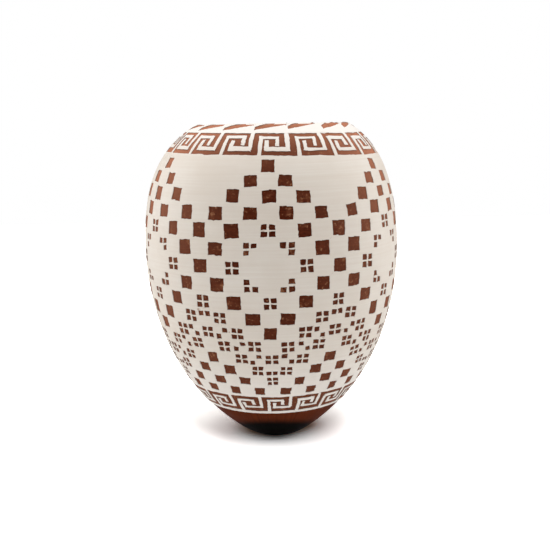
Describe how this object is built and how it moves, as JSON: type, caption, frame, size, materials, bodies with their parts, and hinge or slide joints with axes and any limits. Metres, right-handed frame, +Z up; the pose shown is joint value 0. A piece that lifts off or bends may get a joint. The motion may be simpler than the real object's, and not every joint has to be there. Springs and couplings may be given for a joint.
{
  "type": "pottery jar",
  "caption": "Egg-shaped coil-built clay jar with a wide mouth, no neck and a small flat foot, coated in pale slip scraped into checkered diamonds, frets and rim stripes; holds dry goods",
  "frame": {"origin": "centre of the flat that the jar stands on", "axes": "+Z up along the jar's axis, -Y towards the viewer of the picture, +X to the viewer's right"},
  "size_m": [0.1503, 0.1504, 0.1873],
  "materials": {
    "clay": "red-brown fired clay, burnished below the foot line and scraped matt where it shows through the slip",
    "slip": "thin cream slip, stone-burnished to a soft sheen"
  },
  "bodies": {
    "root": {"base": "clay", "wall_course_1": "clay", "wall_course_2": "clay", "wall_course_3": "clay", "wall_course_4": "clay", "wall_course_5": "clay", "wall_course_6": "clay", "wall_course_7": "clay", "wall_course_8": "clay", "lip_course": "clay", "foot_slip": "slip", "field_slip": "slip", "rim_slip": "slip"}
  },
  "joints": []
}
